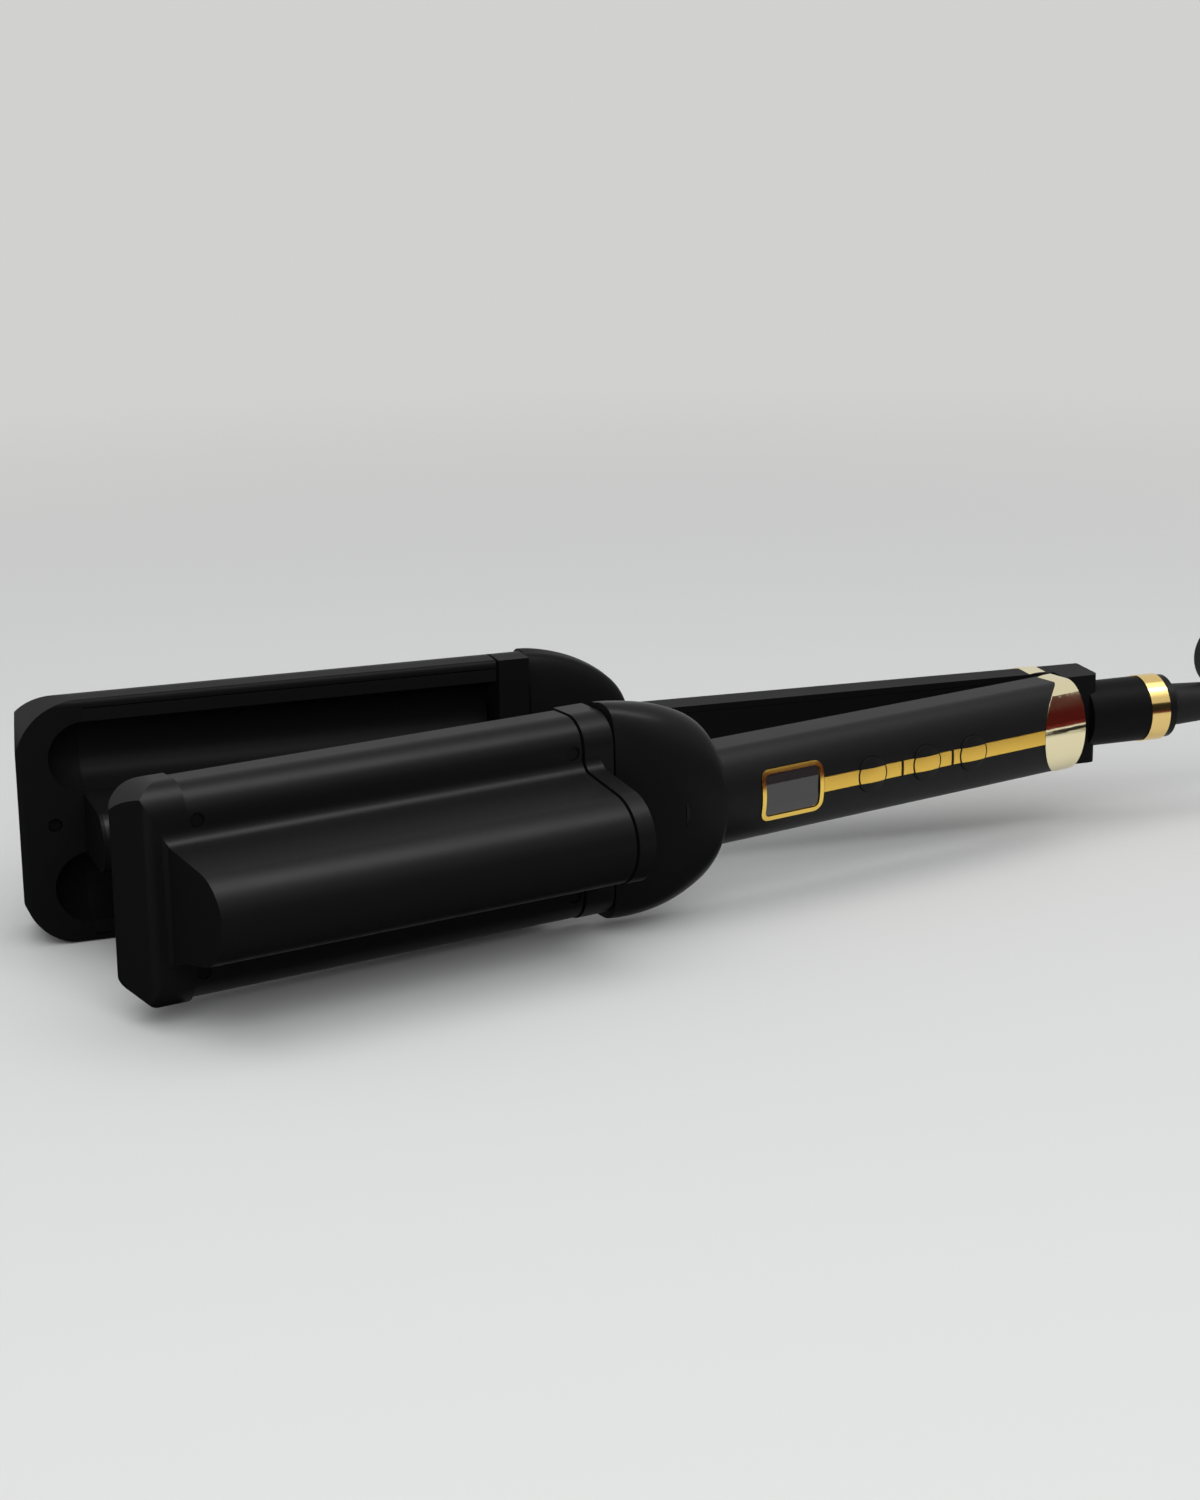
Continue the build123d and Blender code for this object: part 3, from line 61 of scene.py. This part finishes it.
def camera_rotation():
    """The camera looks along -back; azimuth 0 looks along +Y."""
    az, el, roll = radians(AZIMUTH), radians(ELEVATION), radians(ROLL)
    back = Vector((-sin(az) * cos(el), -cos(az) * cos(el), sin(el)))
    level = (-back).cross(Vector((0, 0, 1))).normalized()
    upright = level.cross(-back)
    right = level * cos(roll) + upright * sin(roll)
    up = upright * cos(roll) - level * sin(roll)
    return Matrix((right, up, back)).transposed()


def make_camera():
    data = bpy.data.cameras.new("photo_camera")
    data.sensor_fit = "HORIZONTAL"
    data.sensor_width = SENSOR
    data.lens = FOCAL_PIXELS * SENSOR / IMAGE_WIDTH
    data.clip_end = CLIP_END
    camera = bpy.data.objects.new("photo_camera", data)
    place = Vector((HINGE.x, HINGE.y, 0)) + CAMERA_FROM_HINGE
    place.z = CAMERA_HEIGHT
    camera.matrix_world = Matrix.Translation(place) @ camera_rotation().to_4x4()
    bpy.context.scene.collection.objects.link(camera)
    bpy.context.scene.camera = camera


make_camera()
bpy.context.scene.view_settings.view_transform = "Standard"


# ---- materials ----
GLOSS_SCALE = 45.0         # slow change of the gloss over moulded plastic
GLOSS_SPREAD = 0.04        # in roughness, up and down
GRAIN_DEPTH = 0.00002
METAL_SCALE = 60.0
METAL_SPREAD = 0.1         # as a share of the roughness


def new_material(name):
    material = bpy.data.materials.new(name)
    material.use_nodes = True
    nodes = material.node_tree.nodes
    nodes.clear()
    output = nodes.new("ShaderNodeOutputMaterial")
    shader = nodes.new("ShaderNodeBsdfPrincipled")
    material.node_tree.links.new(shader.outputs["BSDF"], output.inputs["Surface"])
    return material, shader


def add_noise(material, scale, detail=3.0):
    nodes, links = material.node_tree.nodes, material.node_tree.links
    coords = nodes.new("ShaderNodeTexCoord")
    noise = nodes.new("ShaderNodeTexNoise")
    noise.inputs["Scale"].default_value = scale
    noise.inputs["Detail"].default_value = detail
    links.new(coords.outputs["Object"], noise.inputs["Vector"])
    return noise.outputs["Fac"]


def map_range(material, value, low, high):
    nodes, links = material.node_tree.nodes, material.node_tree.links
    node = nodes.new("ShaderNodeMapRange")
    node.inputs["To Min"].default_value = low
    node.inputs["To Max"].default_value = high
    links.new(value, node.inputs["Value"])
    return node.outputs["Result"]


def add_bump(material, shader, height, strength, distance):
    nodes, links = material.node_tree.nodes, material.node_tree.links
    bump = nodes.new("ShaderNodeBump")
    bump.inputs["Strength"].default_value = strength
    bump.inputs["Distance"].default_value = distance
    links.new(height, bump.inputs["Height"])
    links.new(bump.outputs["Normal"], shader.inputs["Normal"])


def moulded(name, color, rough, grain=2600.0, strength=0.25, specular=0.10):
    """Satin moulded plastic: a fine spark-eroded grain and slightly uneven gloss."""
    material, shader = new_material(name)
    shader.inputs["Base Color"].default_value = (*color, 1)
    shader.inputs["Specular IOR Level"].default_value = specular
    uneven = add_noise(material, GLOSS_SCALE)
    rough_value = map_range(material, uneven, rough - GLOSS_SPREAD, rough + GLOSS_SPREAD)
    material.node_tree.links.new(rough_value, shader.inputs["Roughness"])
    add_bump(material, shader, add_noise(material, grain, detail=2.0), strength, GRAIN_DEPTH)
    return material


def metal(name, color, rough):
    """Plated or bare metal whose gloss changes slightly from place to place."""
    material, shader = new_material(name)
    shader.inputs["Base Color"].default_value = (*color, 1)
    shader.inputs["Metallic"].default_value = 1.0
    uneven = add_noise(material, METAL_SCALE)
    low, high = rough * (1 - METAL_SPREAD), rough * (1 + METAL_SPREAD)
    rough_value = map_range(material, uneven, low, high)
    material.node_tree.links.new(rough_value, shader.inputs["Roughness"])
    return material


def smoked_window():
    """The dark clear window over the display: polished, with a little depth."""
    material, shader = new_material("smoked_window")
    shader.inputs["Base Color"].default_value = (0.018, 0.018, 0.020, 1)
    shader.inputs["Roughness"].default_value = 0.10
    shader.inputs["Coat Weight"].default_value = 0.6
    shader.inputs["Coat Roughness"].default_value = 0.03
    return material


BLACK = (0.0055, 0.0055, 0.006)
MATERIALS = {
    "satin": moulded("satin_black_plastic", BLACK, 0.36),
    "plate": moulded("dark_ceramic_coat", (0.006, 0.006, 0.0063), 0.33,
                     grain=700.0, strength=0.10),
    "handle": moulded("handle_black_plastic", BLACK, 0.44, specular=0.14),
    # the same black plastic as the front arm with its reflection turned down to 0.035: painted
    # shade that keeps the rear arm and hinge fork darker
    "rear": moulded("rear_black_plastic_painted_shade", BLACK, 0.42, specular=0.035),
    "frame_gold": metal("frame_gold_plating", (1.0, 0.68, 0.14), 0.20),
    "bar_gold": metal("yellow_gold_plating", (1.0, 0.66, 0.12), 0.42),
    # gold plating paled to near cream for the tail bands: painted highlight standing in for the
    # glare on the band
    "pale_gold": metal("gold_plating_painted_glare", (1.0, 0.90, 0.58), 0.07),
    "ring_gold": metal("ring_gold_plating", (0.97, 0.70, 0.26), 0.14),
    "oxide": moulded("black_oxide_steel", (0.004, 0.004, 0.004), 0.4, specular=0.12),
    "steel": metal("bright_steel", (0.62, 0.62, 0.64), 0.25),
    "window": smoked_window(),
    "board": moulded("green_board", (0.02, 0.14, 0.05), 0.45),
    "heater": metal("heater_aluminium", (0.75, 0.75, 0.77), 0.4),
    "ceramic": moulded("ceramic_body", (0.6, 0.57, 0.52), 0.6),
    "cord": moulded("cord_rubber", (0.012, 0.012, 0.013), 0.5),
    "pin": metal("plated_pin", (0.8, 0.78, 0.74), 0.2),
}
# part of a node's name and its material; the first that fits counts
KIND_OF_NODE = (
    ("wave_plate", "plate"),
    ("display_frame", "frame_gold"),
    ("trim_bars", "bar_gold"),
    ("tail_band", "pale_gold"),
    ("inlay", "bar_gold"),
    ("swivel_ring", "ring_gold"),
    ("screw", "oxide"),
    ("hinge_pin", "steel"),
    ("spring", "steel"),
    ("window", "window"),
    ("board", "board"),
    ("module", "satin"),
    ("switches", "steel"),
    ("heater", "heater"),
    ("thermistor", "ceramic"),
    ("fuse", "ceramic"),
    ("plug_pins", "pin"),
    ("plug_body", "cord"),
    ("cord", "cord"),
    ("strain", "cord"),
    ("rear_", "rear"),
    ("hinge_fork", "rear"),
    ("handle", "handle"),
    ("cover", "handle"),
    ("button", "handle"),
)


def kind_of(node):
    for part, kind in KIND_OF_NODE:
        if part in node:
            return kind
    return "satin"


def dress_nodes():
    for name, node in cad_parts.items():
        node.data.materials.clear()
        node.data.materials.append(MATERIALS[kind_of(name)])


dress_nodes()

# ---- cord: the measured route from the boot, the put-away coil and the lead to the plug ----
CORD_R = 0.0033
CORD_GAP = 0.0003
FLOOR_Z = -ARM_Z
# along the rear arm from the hinge
CORD_ROUTE = (
    (0.110, 0.0, 0.0), (0.136, -0.001, -0.0085), (0.160, -0.003, -0.023),
    (0.184, -0.003, FLOOR_Z + CORD_R + 0.0001), (0.208, -0.001, FLOOR_Z + CORD_R),
)
COIL_MEAN_R = 0.038
COIL_SETBACK = 0.008
LEAD_LENGTH = 0.058
PLUG_HALF = 0.007
TURN_POINTS = 16
CROSSING_POINTS = 4        # of a turn's points, those that lead over to the next one
# share of the lead's length and height above the plug's middle
LEAD_SPOTS = ((0.1, 0.009), (0.4, 0.006), (0.8, 0.0), (1, 0.0))
# column (0 outermost) and layer of each turn, in the order in which the cord is wound
WINDING = ((0, 0), (0, 1), (1, 1), (1, 0), (2, 0), (2, 1), (2, 2), (1, 2), (0, 2))


def coil_points(centre_x, centre_y):
    """Clockwise turns from the top of the ring; each steps to its neighbour in its last part."""
    turns = [(COIL_MEAN_R + 2 * CORD_R * (1 - column), FLOOR_Z + CORD_R * (1 + 2 * layer))
             for column, layer in WINDING]
    swell = 1 / cos(pi / TURN_POINTS)
    points = []
    for index, (radius, height) in enumerate(turns):
        last = index == len(turns) - 1
        after = turns[index if last else index + 1]
        steps = TURN_POINTS // 2 if last else TURN_POINTS
        for step in range(steps):
            mix = max(0.0, (step - TURN_POINTS + CROSSING_POINTS) / CROSSING_POINTS)
            r = (radius + (after[0] - radius) * mix) * swell
            z = height + (after[1] - height) * mix
            angle = pi / 2 - 2 * pi * (step + 0.5) / TURN_POINTS
            points.append((centre_x + r * cos(angle), centre_y + r * sin(angle), z))
    return points


def cord_points():
    coil_x = CORD_ROUTE[-1][0] + COIL_SETBACK
    coil_y = CORD_ROUTE[-1][1] - COIL_MEAN_R - 2 * CORD_R
    lead_y = coil_y - COIL_MEAN_R - 2 * CORD_R
    plug_z = FLOOR_Z + PLUG_HALF
    boot_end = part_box("strain_relief")[1].x - HINGE.x + CORD_GAP
    lead = [(coil_x - LEAD_LENGTH * share, lead_y, rise + plug_z) for share, rise in LEAD_SPOTS]
    return [(boot_end, 0.0, 0.0), *CORD_ROUTE, *coil_points(coil_x, coil_y), *lead]


def make_cord():
    points = [Vector(point) + Vector((HINGE.x, HINGE.y, ARM_Z)) for point in cord_points()]
    curve = bpy.data.curves.new("power_lead", "CURVE")
    curve.dimensions = "3D"
    curve.bevel_depth = CORD_R
    curve.bevel_resolution = 5
    spline = curve.splines.new("NURBS")
    spline.points.add(len(points) - 1)
    for slot, point in zip(spline.points, points):
        slot.co = (*point, 1)
    spline.order_u = 3
    spline.use_endpoint_u = True
    spline.resolution_u = 6
    curve.materials.append(MATERIALS["cord"])
    lead = bpy.data.objects.new("power_lead", curve)
    bpy.context.scene.collection.objects.link(lead)
    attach(lead, "rear_arm")
    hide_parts("power_cord", "cord_coil")


make_cord()


# ---- studio ----
OPEN_ANGLE = radians(11.8)
ARM_OUT = Vector((sin(OPEN_ANGLE), -cos(OPEN_ANGLE), 0))
ARM_BACK = Vector((cos(OPEN_ANGLE), sin(OPEN_ANGLE), 0))
FLOOR_COLOR = (0.70, 0.705, 0.705, 1)
BACKDROP_COLOR = (0.64, 0.64, 0.63, 1)
FLOOR_SIZE = 60.0
FADE_NEAR = 0.35           # distance from the origin at which the floor's fade begins
FADE_FAR = 1.1
AMBIENT = 0.40
OBJECT_MIDDLE = Vector((-0.03, 0.0, 0.04))


def seen_ray(nodes, links):
    """1 for camera, glossy and transmission rays, 0 for the rays that light things."""
    path = nodes.new("ShaderNodeLightPath")
    glossy = nodes.new("ShaderNodeMath")
    glossy.operation = "MAXIMUM"
    links.new(path.outputs["Is Camera Ray"], glossy.inputs[0])
    links.new(path.outputs["Is Glossy Ray"], glossy.inputs[1])
    clear = nodes.new("ShaderNodeMath")
    clear.operation = "MAXIMUM"
    links.new(glossy.outputs[0], clear.inputs[0])
    links.new(path.outputs["Is Transmission Ray"], clear.inputs[1])
    return clear.outputs[0]


def floor_material():
    """Pale floor; away from the object it passes into the backdrop's even tone."""
    material = bpy.data.materials.new("pale_floor")
    material.use_nodes = True
    nodes, links = material.node_tree.nodes, material.node_tree.links
    nodes.clear()
    output = nodes.new("ShaderNodeOutputMaterial")
    diffuse = nodes.new("ShaderNodeBsdfDiffuse")
    diffuse.inputs["Color"].default_value = FLOOR_COLOR
    even = nodes.new("ShaderNodeEmission")
    even.inputs["Color"].default_value = BACKDROP_COLOR
    coords = nodes.new("ShaderNodeTexCoord")
    distance = nodes.new("ShaderNodeVectorMath")
    distance.operation = "LENGTH"
    links.new(coords.outputs["Object"], distance.inputs[0])
    fade = nodes.new("ShaderNodeMapRange")
    fade.interpolation_type = "SMOOTHSTEP"
    fade.inputs["From Min"].default_value = FADE_NEAR
    fade.inputs["From Max"].default_value = FADE_FAR
    links.new(distance.outputs["Value"], fade.inputs["Value"])
    share = nodes.new("ShaderNodeMath")
    share.operation = "MULTIPLY"
    links.new(fade.outputs["Result"], share.inputs[0])
    links.new(seen_ray(nodes, links), share.inputs[1])
    mix = nodes.new("ShaderNodeMixShader")
    links.new(share.outputs[0], mix.inputs["Fac"])
    links.new(diffuse.outputs["BSDF"], mix.inputs[1])
    links.new(even.outputs[0], mix.inputs[2])
    links.new(mix.outputs[0], output.inputs["Surface"])
    return material


def make_sheet(name, corners):
    data = bpy.data.meshes.new(name)
    data.from_pydata([tuple(corner) for corner in corners], [], [tuple(range(len(corners)))])
    sheet = bpy.data.objects.new(name, data)
    bpy.context.scene.collection.objects.link(sheet)
    return sheet


def make_floor():
    half = FLOOR_SIZE / 2
    corners = ((-half, -half, 0), (half, -half, 0), (half, half, 0), (-half, half, 0))
    sheet = make_sheet("floor", corners)
    sheet.data.materials.append(floor_material())


def make_flag(name, corners, color):
    """A dark card that only reflections show; it neither lights nor shades anything."""
    card = make_sheet(name, corners)
    material, shader = new_material(name + "_face")
    shader.inputs["Base Color"].default_value = (*color, 1)
    shader.inputs["Roughness"].default_value = 1.0
    shader.inputs["Specular IOR Level"].default_value = 0.0
    card.data.materials.append(material)
    card.visible_camera = False
    card.visible_diffuse = False
    card.visible_shadow = False


LIFT = 0.001               # of the lying cards over the floor
FLAG_LEFT = -0.5           # along the front arm from the hinge
FLAG_STEP = -0.10          # where the lying cards change from slate to maroon
STANDING_STEP = 0.42       # where the standing cards do
FLAG_RIGHT = 1.0
JAW_FLAG_NEAR = 0.02       # out from the front arm's own line
TAIL_FLAG_NEAR = 0.245
FLAG_FAR = 0.75
FLAG_HIGH = 0.35
MAROON = (0.11, 0.013, 0.013)
SOOT = (0.004, 0.004, 0.004)
SLATE = (0.030, 0.030, 0.032)
# the card that the tail band mirrors: left and right edge along the arm, and the height
BAND_CARD = ((0.70, 0.86, 0.35), (0.84, 0.97, 0.64), (1.10, 1.25, 1.10), (1.30, 1.48, 1.40))
# corners on the floor of the card left of the tips
LEFT_CARD = ((-1.24, -0.16), (-0.175, -0.05), (-0.175, 0.95), (-1.24, 0.95))


def beside_arm(along, out, up):
    """A place given along the front arm, out from it and up from the floor."""
    return Vector((HINGE.x, HINGE.y, up)) + ARM_BACK * along + ARM_OUT * out


def lying_card(name, left, right, near, color):
    spots = ((left, near), (right, near), (right, FLAG_FAR), (left, FLAG_FAR))
    make_flag(name, [beside_arm(x, y, LIFT) for x, y in spots], color)


def standing_card(name, left, right, color):
    spots = ((left, 0), (right, 0), (right, FLAG_HIGH), (left, FLAG_HIGH))
    make_flag(name, [beside_arm(x, FLAG_FAR, z) for x, z in spots], color)


def make_flags():
    """Dark cards before the controls' side, lying and standing, and one left of the tips."""
    lying_card("jaw_flag", FLAG_LEFT, FLAG_STEP, JAW_FLAG_NEAR, SLATE)
    lying_card("tail_flag", FLAG_STEP, FLAG_RIGHT, TAIL_FLAG_NEAR, MAROON)
    standing_card("standing_flag_jaw", FLAG_LEFT, STANDING_STEP, SLATE)
    standing_card("standing_flag_tail", STANDING_STEP, FLAG_RIGHT, MAROON)
    edge = [(left, up) for left, right, up in BAND_CARD]
    edge += [(right, up) for left, right, up in reversed(BAND_CARD)]
    make_flag("band_flag", [beside_arm(x, FLAG_FAR, z) for x, z in edge], MAROON)
    make_flag("left_flag", [(x, y, LIFT) for x, y in LEFT_CARD], SOOT)


def make_world():
    world = bpy.data.worlds.new("studio")
    bpy.context.scene.world = world
    world.use_nodes = True
    nodes, links = world.node_tree.nodes, world.node_tree.links
    nodes.clear()
    output = nodes.new("ShaderNodeOutputWorld")
    ambient = nodes.new("ShaderNodeBackground")
    ambient.inputs["Color"].default_value = (1, 1, 1, 1)
    ambient.inputs["Strength"].default_value = AMBIENT
    even = nodes.new("ShaderNodeBackground")
    even.inputs["Strength"].default_value = 1.0
    even.inputs["Color"].default_value = BACKDROP_COLOR
    mix = nodes.new("ShaderNodeMixShader")
    links.new(seen_ray(nodes, links), mix.inputs["Fac"])
    links.new(ambient.outputs[0], mix.inputs[1])
    links.new(even.outputs[0], mix.inputs[2])
    links.new(mix.outputs[0], output.inputs["Surface"])


def area_light(name, place, width, depth, power):
    """A soft box that faces the middle of the object."""
    data = bpy.data.lights.new(name, "AREA")
    data.shape = "RECTANGLE"
    data.size = width
    data.size_y = depth
    data.energy = power
    light = bpy.data.objects.new(name, data)
    light.location = place
    aim = OBJECT_MIDDLE - Vector(place)
    light.rotation_euler = aim.to_track_quat("-Z", "Y").to_euler()
    bpy.context.scene.collection.objects.link(light)
    return light


make_floor()
make_world()
make_flags()
area_light("overhead_softbox", (-0.05, -0.35, 1.7), width=2.6, depth=2.0, power=17.0)
strip = area_light("highlight_strip", (-0.05, -0.05, 1.4), width=2.2, depth=0.5, power=25.0)
strip.visible_diffuse = False
fill = area_light("front_fill", (-0.30, -1.60, 1.25), width=2.0, depth=1.2, power=20.0)
fill.visible_glossy = False
